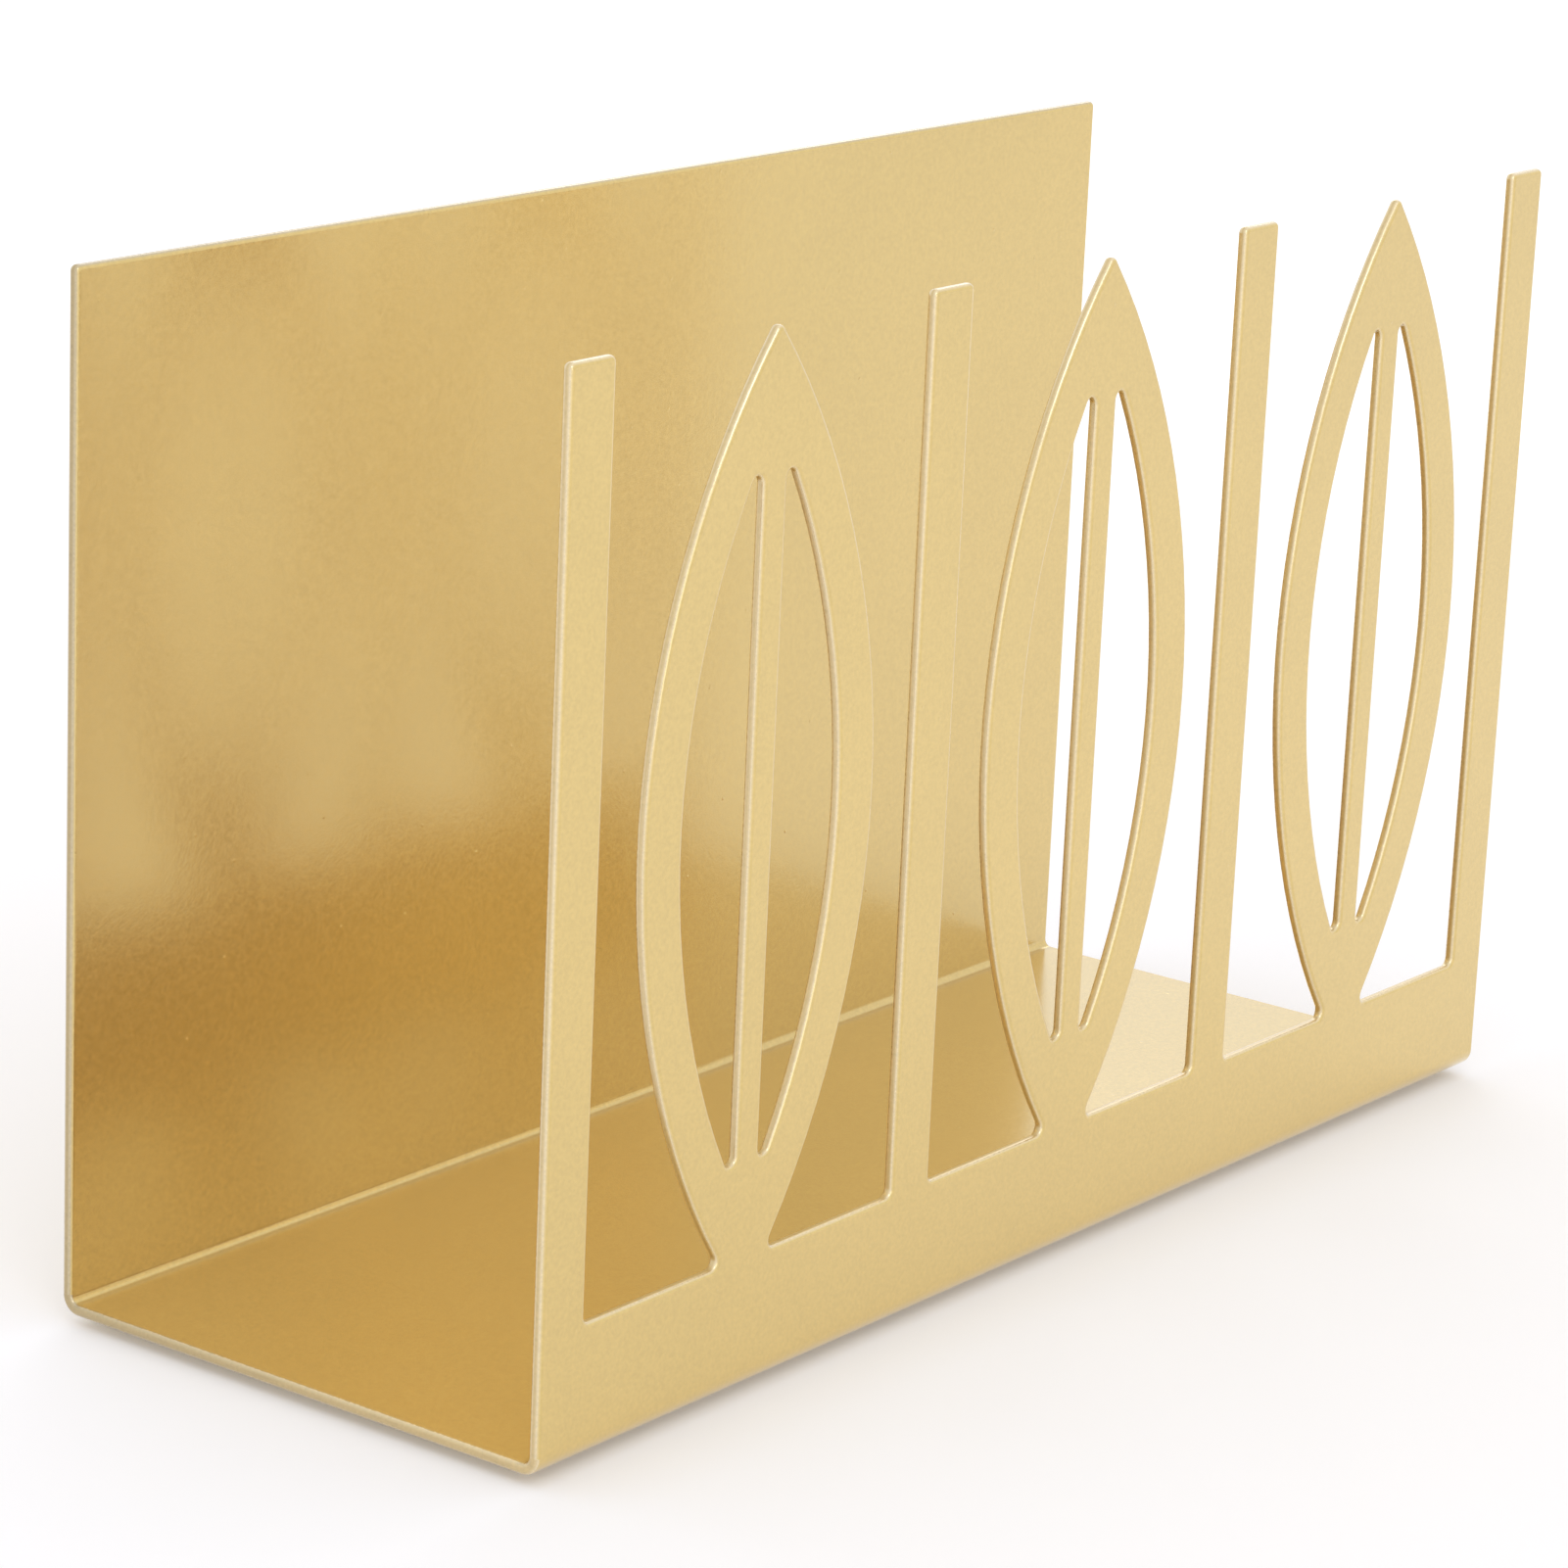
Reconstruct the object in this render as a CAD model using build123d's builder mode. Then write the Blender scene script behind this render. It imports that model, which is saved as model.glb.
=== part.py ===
"""Mail holder: one sheet of painted steel folded to a U, with an openwork front, on four foot pads.

The frame stands on the desk: Z is up, X runs along the width and the openwork front faces -Y.
"""
import os
from math import isclose, sqrt

from build123d import *

os.makedirs("parts", exist_ok=True)

# Driving dimensions, in millimetres

# Folded sheet: steel with its coat of paint
holder_width = 240.0
holder_depth = 88.0
panel_height = 150.0
sheet = 1.7
inside_bend = 1.2
corner_round = 0.9
edge_round = 0.7

# Openwork of the front panel: pickets and ribbed leaves that stand on a low strip
strip_height = 19.5
picket_count = 4
picket_width = 9.0
leaf_gap = 9.0
leaf_band = 8.0
leaf_rib = 5.0
leaf_root = 6.0
cut_round = 1.2

# Foot pads: foam discs, each held by a disc of adhesive
pad_diameter = 10.0
pad_height = 1.5
pad_edge_round = 0.4
pad_inset = 16.0
adhesive_height = 0.2

# Share of a wall, or of a round corner, that a rounded edge may take, and the least length that counts
wall_share = 0.45
corner_share = 0.8
hair = 0.001

# Levels and half sizes
half_width = holder_width / 2
half_depth = holder_depth / 2
base_bottom = pad_height + adhesive_height
outside_bend = inside_bend + sheet
bend_top = base_bottom + outside_bend
strip_top = base_bottom + strip_height
panel_top = base_bottom + panel_height

# Leaf, midway between two pickets: two arcs that meet at its tip and, inside the strip, at its foot
picket_pitch = (holder_width - picket_width) / (picket_count - 1)
leaf_half_width = (picket_pitch - picket_width) / 2 - leaf_gap
leaf_foot = strip_top - leaf_root
leaf_middle = (panel_top + leaf_foot) / 2
leaf_half_height = (panel_top - leaf_foot) / 2
leaf_radius = (leaf_half_height**2 + leaf_half_width**2) / (2 * leaf_half_width)
leaf_arc_offset = leaf_radius - leaf_half_width

# Leaf windows, one on each side of the rib, with arcs that run parallel to the leaf's outline
rib_side = leaf_rib / 2
window_reach = leaf_half_width - leaf_band
window_half_height = sqrt((leaf_radius - leaf_band) ** 2 - (leaf_arc_offset + rib_side) ** 2)

# The paint rounds each cut edge as far as the sheet and its rounded corners leave room
soft_edge = min(edge_round, wall_share * sheet, corner_share * corner_round)

# Leaf of the openwork, drawn about its own middle
with BuildSketch() as leaf_windows:
    with BuildLine():
        ThreePointArc((rib_side, -window_half_height), (window_reach, 0), (rib_side, window_half_height))
        Line((rib_side, window_half_height), (rib_side, -window_half_height))
    make_face()
    mirror(about=Plane.YZ)

with BuildSketch() as leaf:
    with BuildLine():
        ThreePointArc((0, -leaf_half_height), (leaf_half_width, 0), (0, leaf_half_height))
        ThreePointArc((0, leaf_half_height), (-leaf_half_width, 0), (0, -leaf_half_height))
    make_face()
    add(leaf_windows.sketch, mode=Mode.SUBTRACT)

# Folded sheet: back panel, base and front panel bent from one blank
with BuildPart() as folded_sheet:
    with BuildSketch(Plane.YZ) as fold_profile:
        with BuildLine():
            FilletPolyline(
                (half_depth, panel_top),
                (half_depth, base_bottom),
                (-half_depth, base_bottom),
                (-half_depth, strip_top),
                radius=outside_bend,
            )
            offset(amount=sheet, side=Side.RIGHT)
        make_face()
    extrude(amount=half_width, both=True)
    back_corners = folded_sheet.edges().filter_by(Axis.Y).group_by(Axis.Z)[-1]
    fillet(back_corners, radius=corner_round)

    with BuildSketch(Plane.XZ.offset(half_depth)) as openwork:
        with Locations((0, bend_top)):
            Rectangle(holder_width, strip_top - bend_top, align=(Align.CENTER, Align.MIN))
        with Locations((0, bend_top)):
            with GridLocations(picket_pitch, 0, picket_count, 1):
                Rectangle(picket_width, panel_top - bend_top, align=(Align.CENTER, Align.MIN))
        with Locations((0, leaf_middle)):
            with GridLocations(picket_pitch, 0, picket_count - 1, 1):
                add(leaf.sketch)
        corner_levels = openwork.vertices().group_by(Axis.Y)
        inner_corners = ShapeList(corner for level in corner_levels[1:-1] for corner in level)
        fillet(inner_corners, radius=cut_round)
        fillet(openwork.vertices().group_by(Axis.Y)[-1], radius=corner_round)
    extrude(amount=-sheet)

    fold_seams = folded_sheet.edges().filter_by(Axis.X).filter_by_position(Axis.Z, base_bottom, bend_top)
    edges_along_depth = folded_sheet.edges().filter_by(Axis.Y)
    across_sheet = edges_along_depth.filter_by(lambda edge: isclose(edge.length, sheet, abs_tol=hair))
    cut_edges = folded_sheet.edges() - fold_seams - across_sheet
    fillet(cut_edges, radius=soft_edge)

folded_sheet.part.label = "folded_sheet"
export_step(folded_sheet.part, "parts/folded_sheet.step")

# Foot pads and their adhesive, one pair near each corner of the base
pad_places = {
    "front_left": (-1, -1),
    "front_right": (1, -1),
    "rear_left": (-1, 1),
    "rear_right": (1, 1),
}
for corner, (side, end) in pad_places.items():
    pad_centre = (side * (half_width - pad_inset), end * (half_depth - pad_inset))

    with BuildPart() as foot_pad:
        with BuildSketch(Plane.XY):
            with Locations(pad_centre):
                Circle(pad_diameter / 2)
        extrude(amount=pad_height)
        tread_edge = foot_pad.edges().sort_by(Axis.Z)[0]
        fillet(tread_edge, radius=min(pad_edge_round, corner_share * pad_height))
    foot_pad.part.label = f"foot_pad_{corner}"
    export_step(foot_pad.part, f"parts/foot_pad_{corner}.step")

    with BuildPart() as pad_adhesive:
        with BuildSketch(Plane.XY.offset(pad_height)):
            with Locations(pad_centre):
                Circle(pad_diameter / 2)
        extrude(amount=adhesive_height)
    pad_adhesive.part.label = f"pad_adhesive_{corner}"
    export_step(pad_adhesive.part, f"parts/pad_adhesive_{corner}.step")
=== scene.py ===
"""Looks of a mail holder: a gold painted steel sheet folded to a U, standing on four foam pads."""
import math

import bmesh
import bpy
from mathutils import Matrix, Vector


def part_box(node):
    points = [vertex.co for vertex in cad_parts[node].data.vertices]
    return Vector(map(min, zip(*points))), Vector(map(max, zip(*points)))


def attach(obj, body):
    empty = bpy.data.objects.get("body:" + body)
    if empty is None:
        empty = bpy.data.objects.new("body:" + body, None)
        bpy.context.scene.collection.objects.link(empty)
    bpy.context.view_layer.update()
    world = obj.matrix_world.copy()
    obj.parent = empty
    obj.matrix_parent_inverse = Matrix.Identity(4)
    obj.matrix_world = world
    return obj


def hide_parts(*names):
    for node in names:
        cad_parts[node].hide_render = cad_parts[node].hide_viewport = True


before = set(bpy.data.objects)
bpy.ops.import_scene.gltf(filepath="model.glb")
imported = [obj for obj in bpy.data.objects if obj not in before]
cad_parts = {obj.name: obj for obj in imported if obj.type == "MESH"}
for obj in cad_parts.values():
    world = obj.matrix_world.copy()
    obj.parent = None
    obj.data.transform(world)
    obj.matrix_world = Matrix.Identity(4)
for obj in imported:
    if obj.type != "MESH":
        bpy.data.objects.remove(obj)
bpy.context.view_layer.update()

# Folded sheet
# One blank of mild steel 1.5 mm thick, laser cut with its openwork front and bent twice to a U.
# It is sprayed all over with a metallic gold paint, stoved to a satin film that rounds each cut edge.
MM = 0.001

sheet_low, sheet_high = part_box("folded_sheet")
sheet_thickness = 1.7 * MM
inside_bend = 1.2 * MM
base_top = sheet_low.z + sheet_thickness
fold_top = base_top + inside_bend
fold_line = sheet_high.y - sheet_thickness - inside_bend

# Paint on a broad face, over a rounded edge and on a cut, and how far the surface turns between them
paint_gold = "#DEC279"
# Rounded edges are paler, partly for the thin film and partly as a painted highlight line
thin_film_and_highlight_gold = "#ECDAB2"
cut_gold = "#D4BC88"
edge_start = 0.1
edge_palest = 0.5
# Rounded edges and cuts are painted darker towards the back of the sheet
edge_shade_full = 0.4
back_edge_shade = 0.72
flake_share = 0.75
paint_roughness = 0.21
cut_roughness = 0.35
coat_share = 1.0
coat_roughness = 0.2

# Flakes are under 0.05 mm across: they are drawn as clumps, coarse enough to show as grain
flake_size = 0.6 * MM
flake_contrast = 0.055
flake_roughness = 0.06
spray_cloud_size = 34 * MM
cloud_contrast = 0.015
orange_peel_size = 3.2 * MM
relief = 0.012 * MM

# Noise keeps mostly within this part of its range from 0 to 1
noise_low = 0.3
noise_high = 0.7

# Laser marks are about 0.3 mm apart: they are drawn coarser, to show on a cut
cut_mark_pitch = 0.8 * MM
cut_mark_length = 8 * MM
cut_mark_relief = 2 * relief
nick_start = 0.55
nick_full = 0.75
nick_shade = 0.88

# Painted shade in the crease along the inside of each fold
fold_shade_width = 1.0 * MM
fold_shade_darkest = 0.86
fold_shade_fade_start = 0.1 * inside_bend
fold_shade_fade_end = 0.3 * inside_bend

nib_spacing = 19 * MM
nib_width = 0.7 * MM
nib_relief = 0.05 * MM


def linear_colour(hex_code):
    """A linear RGBA colour from an sRGB hex code."""
    shares = [int(hex_code[i : i + 2], 16) / 255 for i in (1, 3, 5)]
    return (*(s / 12.92 if s <= 0.04045 else ((s + 0.055) / 1.055) ** 2.4 for s in shares), 1.0)


def add_node(tree, kind, inputs, **settings):
    """One node with its settings, and with each input a plain value or the output that feeds it."""
    node = tree.nodes.new(kind)
    for name, value in settings.items():
        setattr(node, name, value)
    for name, value in inputs.items():
        if isinstance(value, bpy.types.NodeSocket):
            tree.links.new(value, node.inputs[name])
        else:
            node.inputs[name].default_value = value
    return node


# Metallic acrylic paint, sprayed and stoved: a satin metal sheen, fine flakes and a faint orange peel.
# Pigment between the flakes keeps the gold warm where they mirror little light. The film runs thin along
# the cut edges, whose paler line is partly a painted highlight; dust leaves a small nib here and there.
gold_paint = bpy.data.materials.new("metallic_gold_paint_sprayed")
gold_paint.use_nodes = True
tree = gold_paint.node_tree
shader = tree.nodes["Principled BSDF"]
shader.inputs["Metallic"].default_value = flake_share
shader.inputs["Coat Weight"].default_value = coat_share
shader.inputs["Coat Roughness"].default_value = coat_roughness

# How far the surface has turned from a broad face of the sheet, at 0, to a cut through it, at 1
coordinates = add_node(tree, "ShaderNodeTexCoord", {})
place = coordinates.outputs["Object"]
point = add_node(tree, "ShaderNodeSeparateXYZ", {"Vector": place})
facing = add_node(tree, "ShaderNodeSeparateXYZ", {"Vector": coordinates.outputs["Normal"]})
endways = add_node(tree, "ShaderNodeMath", {0: facing.outputs["X"]}, operation="ABSOLUTE")
broadways = add_node(tree, "ShaderNodeMath", {0: facing.outputs["Y"]}, operation="ABSOLUTE")
edgeways = add_node(tree, "ShaderNodeMath", {0: 1.0, 1: broadways.outputs[0]}, operation="SUBTRACT")
upright = add_node(
    tree, "ShaderNodeMath", {0: point.outputs["Z"], 1: fold_top}, operation="GREATER_THAN"
)
turn = add_node(
    tree,
    "ShaderNodeMapRange",
    {"Value": upright.outputs[0], "To Min": endways.outputs[0], "To Max": edgeways.outputs[0]},
)
paint_film = add_node(tree, "ShaderNodeValToRGB", {"Fac": turn.outputs[0]})
paint_film.color_ramp.elements[0].color = linear_colour(paint_gold)
paint_film.color_ramp.elements[0].position = edge_start
paint_film.color_ramp.elements[1].color = linear_colour(cut_gold)
paint_film.color_ramp.elements.new(edge_palest).color = linear_colour(thin_film_and_highlight_gold)

# Flakes that lie a little differently, and paint that lies a little thicker, shift the gold's brightness
flakes = add_node(
    tree, "ShaderNodeTexNoise", {"Vector": place, "Scale": 1 / flake_size, "Detail": 2.0, "Roughness": 0.6}
)
clouds = add_node(
    tree, "ShaderNodeTexNoise", {"Vector": place, "Scale": 1 / spray_cloud_size, "Detail": 2.0}
)
peel = add_node(
    tree, "ShaderNodeTexNoise", {"Vector": place, "Scale": 1 / orange_peel_size, "Detail": 1.0}
)
flake_tone = add_node(
    tree,
    "ShaderNodeMapRange",
    {
        "Value": flakes.outputs["Fac"],
        "From Min": noise_low,
        "From Max": noise_high,
        "To Min": 1 - flake_contrast,
        "To Max": 1 + flake_contrast,
    },
)
cloud_tone = add_node(
    tree,
    "ShaderNodeMapRange",
    {
        "Value": clouds.outputs["Fac"],
        "From Min": noise_low,
        "From Max": noise_high,
        "To Min": 1 - cloud_contrast,
        "To Max": 1 + cloud_contrast,
    },
)

# The colour of the rounded edges and cuts is painted darker towards the back of the sheet
edge_shade = add_node(
    tree,
    "ShaderNodeMapRange",
    {
        "Value": point.outputs["Y"],
        "From Min": sheet_low.y,
        "From Max": sheet_high.y,
        "To Min": 1.0,
        "To Max": back_edge_shade,
    },
)
edge_tone = add_node(
    tree,
    "ShaderNodeMapRange",
    {
        "Value": turn.outputs[0],
        "From Min": edge_start,
        "From Max": edge_shade_full,
        "To Min": 1.0,
        "To Max": edge_shade.outputs[0],
    },
)

# Painted shade: a darker line on the base along the inside of each fold, where shade falls in the crease
depthways = add_node(tree, "ShaderNodeMath", {0: point.outputs["Y"]}, operation="ABSOLUTE")
from_fold = add_node(
    tree, "ShaderNodeMath", {0: depthways.outputs[0], 1: fold_line}, operation="SUBTRACT"
)
beside_fold = add_node(tree, "ShaderNodeMath", {0: from_fold.outputs[0]}, operation="ABSOLUTE")
fold_shade_band = add_node(
    tree,
    "ShaderNodeMapRange",
    {
        "Value": beside_fold.outputs[0],
        "From Max": fold_shade_width,
        "To Min": fold_shade_darkest,
        "To Max": 1.0,
    },
    interpolation_type="SMOOTHSTEP",
)
from_base = add_node(tree, "ShaderNodeMath", {0: point.outputs["Z"], 1: base_top}, operation="SUBTRACT")
off_base = add_node(tree, "ShaderNodeMath", {0: from_base.outputs[0]}, operation="ABSOLUTE")
clear_of_base = add_node(
    tree,
    "ShaderNodeMapRange",
    {"Value": off_base.outputs[0], "From Min": fold_shade_fade_start, "From Max": fold_shade_fade_end},
)
fold_shade_tone = add_node(
    tree, "ShaderNodeMath", {0: fold_shade_band.outputs[0], 1: clear_of_base.outputs[0]}, operation="MAXIMUM"
)

# Marks of the laser run across the thickness of the sheet and show through the paint on the cuts
cut_stretch = add_node(
    tree,
    "ShaderNodeVectorMath",
    {0: place, 1: (1 / cut_mark_pitch, 1 / cut_mark_length, 1 / cut_mark_pitch)},
    operation="MULTIPLY",
)
cut_marks = add_node(
    tree, "ShaderNodeTexNoise", {"Vector": cut_stretch.outputs[0], "Scale": 1.0, "Detail": 3.0}
)
cut_height = add_node(
    tree, "ShaderNodeMath", {0: cut_marks.outputs["Fac"], 1: turn.outputs[0]}, operation="MULTIPLY"
)
nick_tone = add_node(
    tree,
    "ShaderNodeMapRange",
    {
        "Value": cut_height.outputs[0],
        "From Min": nick_start,
        "From Max": nick_full,
        "To Min": 1.0,
        "To Max": nick_shade,
    },
)

tone = flake_tone
for shade in (cloud_tone, edge_tone, fold_shade_tone, nick_tone):
    tone = add_node(
        tree, "ShaderNodeMath", {0: tone.outputs[0], 1: shade.outputs[0]}, operation="MULTIPLY"
    )
gold = add_node(
    tree, "ShaderNodeHueSaturation", {"Value": tone.outputs[0], "Color": paint_film.outputs["Color"]}
)
tree.links.new(gold.outputs["Color"], shader.inputs["Base Color"])

# The flat paint is satin, and the film on a cut is duller; the flakes break up both
film_roughness = add_node(
    tree,
    "ShaderNodeMapRange",
    {
        "Value": turn.outputs[0],
        "From Min": edge_start,
        "To Min": paint_roughness,
        "To Max": cut_roughness,
    },
)
grain_roughness = add_node(
    tree,
    "ShaderNodeMapRange",
    {"Value": flakes.outputs["Fac"], "To Min": -flake_roughness, "To Max": flake_roughness},
)
satin = add_node(
    tree,
    "ShaderNodeMath",
    {0: film_roughness.outputs[0], 1: grain_roughness.outputs[0]},
    operation="ADD",
)
tree.links.new(satin.outputs[0], shader.inputs["Roughness"])

# Nibs of dust under the paint, scattered over the sheet as if it lay flat
along_sheet = add_node(
    tree, "ShaderNodeMath", {0: point.outputs["Y"], 1: point.outputs["Z"]}, operation="ADD"
)
flat_place = add_node(
    tree, "ShaderNodeCombineXYZ", {"X": point.outputs["X"], "Y": along_sheet.outputs[0]}
)
scatter = add_node(
    tree,
    "ShaderNodeTexVoronoi",
    {"Vector": flat_place.outputs[0], "Scale": 1 / nib_spacing},
    voronoi_dimensions="2D",
)
nibs = add_node(
    tree,
    "ShaderNodeMapRange",
    {
        "Value": scatter.outputs["Distance"],
        "From Min": 0.0,
        "From Max": nib_width / 2 / nib_spacing,
        "To Min": 1.0,
        "To Max": 0.0,
    },
    interpolation_type="SMOOTHSTEP",
)

bump = None
for height, depth in (
    (peel.outputs["Fac"], relief),
    (flakes.outputs["Fac"], relief),
    (cut_height.outputs[0], cut_mark_relief),
    (nibs.outputs[0], nib_relief),
):
    below = {"Normal": bump.outputs[0]} if bump else {}
    bump = add_node(
        tree, "ShaderNodeBump", {"Height": height, "Strength": 1.0, "Distance": depth, **below}
    )
tree.links.new(bump.outputs[0], shader.inputs["Normal"])

sheet_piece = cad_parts["folded_sheet"]
sheet_piece.material_slots[0].material = gold_paint

# Pad adhesive
# A disc of double-sided acrylic film under each corner of the base, punched with the pad that it holds.
# It keeps the plain disc of its solid, of which only a thin rim shows.
pad_corners = ("front_left", "front_right", "rear_left", "rear_right")
film_white = "#D9D4C6"
film_grey = "#C4BEAE"
film_ior = 1.47
film_wet_roughness = 0.25
film_dry_roughness = 0.5
film_mottle_size = 1.1 * MM
film_relief = 0.01 * MM
mottle_grey = 0.35
mottle_white = 0.65

# Acrylic adhesive film, coated and punched: milky and slightly glossy, mottled where it wets the paint.
adhesive_film = bpy.data.materials.new("acrylic_adhesive_film_coated")
adhesive_film.use_nodes = True
tree = adhesive_film.node_tree
shader = tree.nodes["Principled BSDF"]
shader.inputs["IOR"].default_value = film_ior
place = add_node(tree, "ShaderNodeTexCoord", {}).outputs["Object"]
mottle = add_node(
    tree, "ShaderNodeTexNoise", {"Vector": place, "Scale": 1 / film_mottle_size, "Detail": 3.0}
)
milk = add_node(tree, "ShaderNodeValToRGB", {"Fac": mottle.outputs["Fac"]})
milk.color_ramp.elements[0].color = linear_colour(film_grey)
milk.color_ramp.elements[0].position = mottle_grey
milk.color_ramp.elements[1].color = linear_colour(film_white)
milk.color_ramp.elements[1].position = mottle_white
tree.links.new(milk.outputs["Color"], shader.inputs["Base Color"])
gloss = add_node(
    tree,
    "ShaderNodeMapRange",
    {"Value": mottle.outputs["Fac"], "To Min": film_wet_roughness, "To Max": film_dry_roughness},
)
tree.links.new(gloss.outputs[0], shader.inputs["Roughness"])
ripple = add_node(
    tree, "ShaderNodeBump", {"Height": mottle.outputs["Fac"], "Strength": 1.0, "Distance": film_relief}
)
tree.links.new(ripple.outputs[0], shader.inputs["Normal"])

for corner in pad_corners:
    film_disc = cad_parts[f"pad_adhesive_{corner}"]
    film_disc.material_slots[0].material = adhesive_film

# Foot pads
# Four discs of closed-cell EVA foam that keep the steel off the desk, one stuck on each film disc.
# The punch draws the sides in a little, and the tread is slightly crowned with a soft rim.
rim_round = 0.4 * MM
side_draw = 0.12 * MM
tread_crown = 0.06 * MM
tread_steps = 12
rim_steps = 8
side_steps = 10
pad_steps = 96
weld_gap = 0.001 * MM
glued_face_up = 0.9
foam_grey = "#2A2A2B"
foam_dust = "#4A4948"
foam_ior = 1.49
foam_wall_roughness = 0.75
foam_pit_roughness = 0.95

# Foam cells are about 0.2 mm across: they are drawn coarser, to show as pin holes
foam_cell_size = 0.45 * MM
foam_cell_reach = 0.8
foam_pit_depth = 0.08 * MM
foam_dust_size = 1.8 * MM
dust_start = 0.2
dust_full = 0.6

# EVA foam, blown and punched: a dull charcoal skin with pin-sized open cells and a little dust.
eva_foam = bpy.data.materials.new("eva_foam_punched")
eva_foam.use_nodes = True
tree = eva_foam.node_tree
shader = tree.nodes["Principled BSDF"]
shader.inputs["IOR"].default_value = foam_ior
place = add_node(tree, "ShaderNodeTexCoord", {}).outputs["Object"]
cells = add_node(tree, "ShaderNodeTexVoronoi", {"Vector": place, "Scale": 1 / foam_cell_size})
cell_walls = add_node(
    tree, "ShaderNodeMapRange", {"Value": cells.outputs["Distance"], "From Max": foam_cell_reach}
)
dust = add_node(
    tree, "ShaderNodeTexNoise", {"Vector": place, "Scale": 1 / foam_dust_size, "Detail": 3.0}
)
dusty = add_node(
    tree,
    "ShaderNodeMath",
    {0: cell_walls.outputs[0], 1: dust.outputs["Fac"]},
    operation="MULTIPLY",
)
charcoal = add_node(tree, "ShaderNodeValToRGB", {"Fac": dusty.outputs[0]})
charcoal.color_ramp.elements[0].color = linear_colour(foam_grey)
charcoal.color_ramp.elements[0].position = dust_start
charcoal.color_ramp.elements[1].color = linear_colour(foam_dust)
charcoal.color_ramp.elements[1].position = dust_full
tree.links.new(charcoal.outputs["Color"], shader.inputs["Base Color"])
dullness = add_node(
    tree,
    "ShaderNodeMapRange",
    {"Value": cell_walls.outputs[0], "To Min": foam_pit_roughness, "To Max": foam_wall_roughness},
)
tree.links.new(dullness.outputs[0], shader.inputs["Roughness"])
pits = add_node(
    tree, "ShaderNodeBump", {"Height": cell_walls.outputs[0], "Strength": 1.0, "Distance": foam_pit_depth}
)
tree.links.new(pits.outputs[0], shader.inputs["Normal"])

pad_low, pad_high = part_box("foot_pad_front_left")
pad_radius = (pad_high.x - pad_low.x) / 2
pad_height = pad_high.z - pad_low.z

# Half section from the middle of the tread, round its rim and up the drawn-in side to the glued face
section = []
for step in range(tread_steps + 1):
    share = step / tread_steps
    section.append((share * (pad_radius - rim_round), tread_crown * share**2))
for step in range(1, rim_steps + 1):
    angle = step / rim_steps * math.pi / 2
    low_edge = tread_crown + (rim_round - tread_crown) * (1 - math.cos(angle))
    section.append((pad_radius - rim_round + rim_round * math.sin(angle), low_edge))
for step in range(1, side_steps + 1):
    share = step / side_steps
    section.append(
        (
            pad_radius - side_draw * math.sin(math.pi * share),
            rim_round + share * (pad_height - rim_round),
        )
    )
section.append((0.0, pad_height))

pad_form = bmesh.new()
section_points = [pad_form.verts.new((radius, 0.0, height)) for radius, height in section]
section_lines = [pad_form.edges.new(pair) for pair in zip(section_points, section_points[1:])]
bmesh.ops.spin(
    pad_form,
    geom=section_points + section_lines,
    axis=(0.0, 0.0, 1.0),
    cent=(0.0, 0.0, 0.0),
    angle=2 * math.pi,
    steps=pad_steps,
    use_merge=True,
)
bmesh.ops.remove_doubles(pad_form, verts=pad_form.verts, dist=weld_gap)
bmesh.ops.recalc_face_normals(pad_form, faces=pad_form.faces)
for face in pad_form.faces:
    face.smooth = face.normal.z < glued_face_up
pad_mesh = bpy.data.meshes.new("foam_foot_pad")
pad_form.to_mesh(pad_mesh)
pad_form.free()
pad_mesh.materials.append(eva_foam)

for corner in pad_corners:
    pad_low, pad_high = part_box(f"foot_pad_{corner}")
    foam_pad = bpy.data.objects.new(f"foam_pad_{corner}", pad_mesh)
    foam_pad.location = ((pad_low.x + pad_high.x) / 2, (pad_low.y + pad_high.y) / 2, pad_low.z)
    bpy.context.scene.collection.objects.link(foam_pad)
    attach(foam_pad, "root")
    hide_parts(f"foot_pad_{corner}")

# Floor
# A wide sheet of matt paper that the holder stands on, with the faint cool tint of a bright white.
# It reads as white to the eye and in the metal, and keeps the shadow.
floor_half = 4.0
paper_white = "#E8E7EA"
paper_roughness = 0.9
paper_glow = 0.17
floor_mesh = bpy.data.meshes.new("paper_floor")
corners = [(x * floor_half, y * floor_half, 0.0) for x, y in ((-1, -1), (1, -1), (1, 1), (-1, 1))]
floor_mesh.from_pydata(corners, [], [(0, 1, 2, 3)])
floor = bpy.data.objects.new("paper_floor", floor_mesh)
bpy.context.scene.collection.objects.link(floor)

# Paper, uncoated and matt: an even white without gloss.
paper = bpy.data.materials.new("white_paper_matt")
paper.use_nodes = True
tree = paper.node_tree
shader = tree.nodes["Principled BSDF"]
shader.inputs["Base Color"].default_value = linear_colour(paper_white)
shader.inputs["Roughness"].default_value = paper_roughness
shader.inputs["Specular IOR Level"].default_value = 0.0
shader.inputs["Emission Color"].default_value = (1.0, 1.0, 1.0, 1.0)
path = add_node(tree, "ShaderNodeLightPath", {})
seen = add_node(
    tree,
    "ShaderNodeMath",
    {0: path.outputs["Is Camera Ray"], 1: path.outputs["Is Glossy Ray"]},
    operation="MAXIMUM",
)
seen = add_node(
    tree,
    "ShaderNodeMath",
    {0: seen.outputs[0], 1: path.outputs["Is Transmission Ray"]},
    operation="MAXIMUM",
)
glow = add_node(tree, "ShaderNodeMath", {0: seen.outputs[0], 1: paper_glow}, operation="MULTIPLY")
tree.links.new(glow.outputs[0], shader.inputs["Emission Strength"])
floor_mesh.materials.append(paper)

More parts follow.
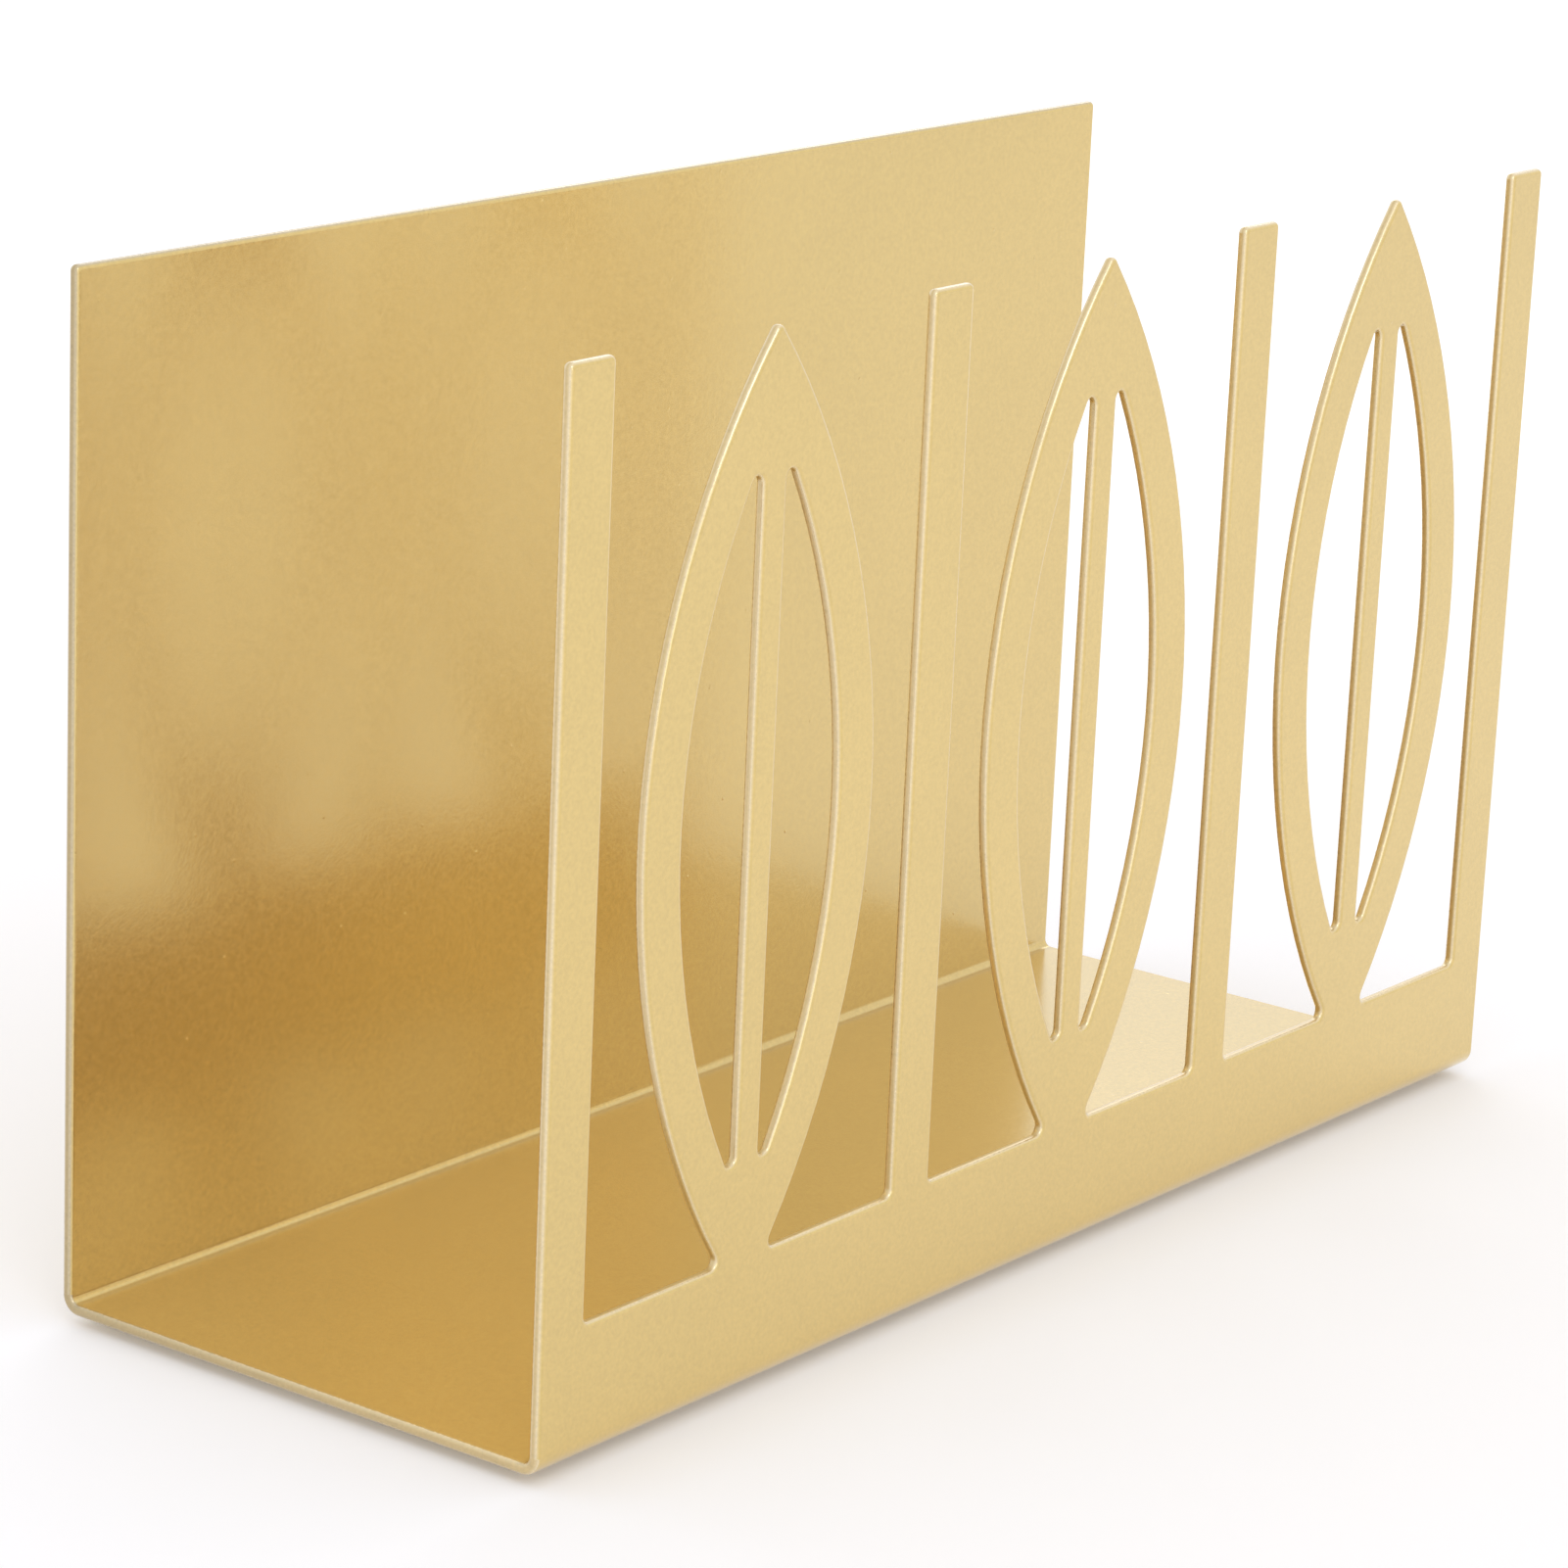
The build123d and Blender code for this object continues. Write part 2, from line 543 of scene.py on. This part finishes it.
# Light
# A white room round the holder, with a strong softbox high at the left and a weak one low before it.
# A third hangs behind the right end and lights the floor there.
world = bpy.data.worlds.new("white_room")
bpy.context.scene.world = world
world.use_nodes = True
background = world.node_tree.nodes["Background"]
background.inputs["Color"].default_value = (1.0, 1.0, 1.0, 1.0)
background.inputs["Strength"].default_value = 1.0

softboxes = {
    "softbox_left": {"place": (-0.7, -0.8, 1.0), "aim": (0, 0, 0), "side": 0.45, "radiance": 2.6},
    "softbox_low": {"place": (-0.75, -1.05, 0.3), "aim": (0, 0, 0), "side": 0.55, "radiance": 0.7},
    "softbox_rear": {"place": (0.7, 0.5, 0.5), "aim": (0.7, 0.5, 0), "side": 0.5, "radiance": 1.6},
}
for name, softbox in softboxes.items():
    light = bpy.data.lights.new(name, "AREA")
    light.shape = "SQUARE"
    light.size = softbox["side"]
    light.energy = softbox["radiance"] * math.pi * softbox["side"] ** 2
    lamp = bpy.data.objects.new(name, light)
    lamp.location = softbox["place"]
    lamp.rotation_mode = "QUATERNION"
    throw = Vector(softbox["aim"]) - Vector(softbox["place"])
    lamp.rotation_quaternion = throw.to_track_quat("-Z", "Y")
    bpy.context.scene.collection.objects.link(lamp)

# Camera
# A long lens on a stand, a little above the holder and well round to its left end.
# It is held slightly tilted.
view_azimuth = math.radians(-52.93)
view_elevation = math.radians(15.635)
view_tilt = math.radians(2.499)
view_distance = 802.9 * MM
aim_point = Vector((-14.3 * MM, 0.0, 67.6 * MM))
lens_length = 124.2
film_width = 36.0

back = Vector(
    (
        math.sin(view_azimuth) * math.cos(view_elevation),
        -math.cos(view_azimuth) * math.cos(view_elevation),
        math.sin(view_elevation),
    )
)
right = Vector((math.cos(view_azimuth), math.sin(view_azimuth), 0.0))
axes = Matrix((right, back.cross(right), back)).transposed() @ Matrix.Rotation(view_tilt, 3, "Z")
camera_data = bpy.data.cameras.new("camera")
camera_data.lens = lens_length
camera_data.sensor_width = film_width
camera = bpy.data.objects.new("camera", camera_data)
camera.matrix_world = Matrix.Translation(aim_point + back * view_distance) @ axes.to_4x4()
bpy.context.scene.collection.objects.link(camera)
bpy.context.scene.camera = camera
bpy.context.scene.view_settings.view_transform = "Standard"
